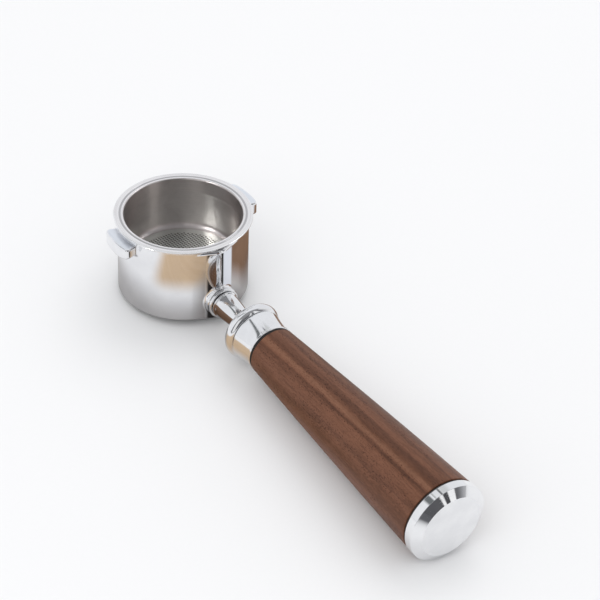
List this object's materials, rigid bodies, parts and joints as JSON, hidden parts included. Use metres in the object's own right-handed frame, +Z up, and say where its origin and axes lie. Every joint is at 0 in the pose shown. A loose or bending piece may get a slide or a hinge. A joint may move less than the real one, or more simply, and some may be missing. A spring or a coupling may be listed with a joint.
{
  "type": "portafilter",
  "caption": "Bottomless espresso portafilter: lugged round head with a lift-out filter basket, and a screw-on tapered wooden handle with polished ferrule and end cap.",
  "frame": {"origin": "centre of the filter basket's floor, on the head's vertical axis", "axes": "+Z up along the head's axis, towards the group head; handle along -Y, drooping 2.4 degrees; lugs along +X and -X"},
  "size_m": [0.0676, 0.2202, 0.0522],
  "materials": {
    "polished_head": "mirror polished",
    "satin_basket": "satin",
    "spring_steel": "drawn wire",
    "polished_neck": "mirror polished",
    "zinc_steel": "zinc plated",
    "black_seal": "matte",
    "walnut": "oiled, fine open grain",
    "polished_cap": "polished band, satin face"
  },
  "bodies": {
    "head": {"head_body": "polished_head", "basket_spring": "spring_steel"},
    "basket": {"filter_basket": "satin_basket"},
    "collar": {"root_collar": "polished_neck"},
    "handle": {"neck_stud": "zinc_steel", "neck_shaft": "polished_neck", "ferrule": "polished_neck", "ferrule_seal": "black_seal", "wood_grip": "walnut", "tie_rod": "zinc_steel", "rod_washer": "zinc_steel", "rod_spring_washer": "spring_steel", "rod_nut": "zinc_steel"},
    "gasket": {"cap_gasket": "black_seal"},
    "cap": {"end_cap": "polished_cap"}
  },
  "joints": [
    {"name": "basket_lift", "type": "slide", "parent": "head", "child": "basket", "axis": [0, 0, 1], "range_m": [0, 0.035]},
    {"name": "collar_travel", "type": "slide", "parent": "head", "child": "collar", "axis": [0, -0.9991, -0.0419], "range_m": [0, 0.00313]},
    {"name": "handle_unscrew", "type": "hinge", "parent": "collar", "child": "handle", "pos_m": [0, -0.03017, -0.00346], "axis": [0, -0.9991, -0.0419], "range_deg": [0, 900]},
    {"name": "gasket_travel", "type": "slide", "parent": "handle", "child": "gasket", "axis": [0, -0.9991, -0.0419], "range_m": [0, 0.009]},
    {"name": "cap_unscrew", "type": "hinge", "parent": "gasket", "child": "cap", "pos_m": [0, -0.18384, -0.00991], "axis": [0, -0.9991, -0.0419], "range_deg": [0, 3240]}
  ],
  "couplings": [
    {"joint": "handle_unscrew", "follows": "collar_travel", "rad_per_m": 5026.5},
    {"joint": "cap_unscrew", "follows": "gasket_travel", "rad_per_m": 6283.2}
  ]
}
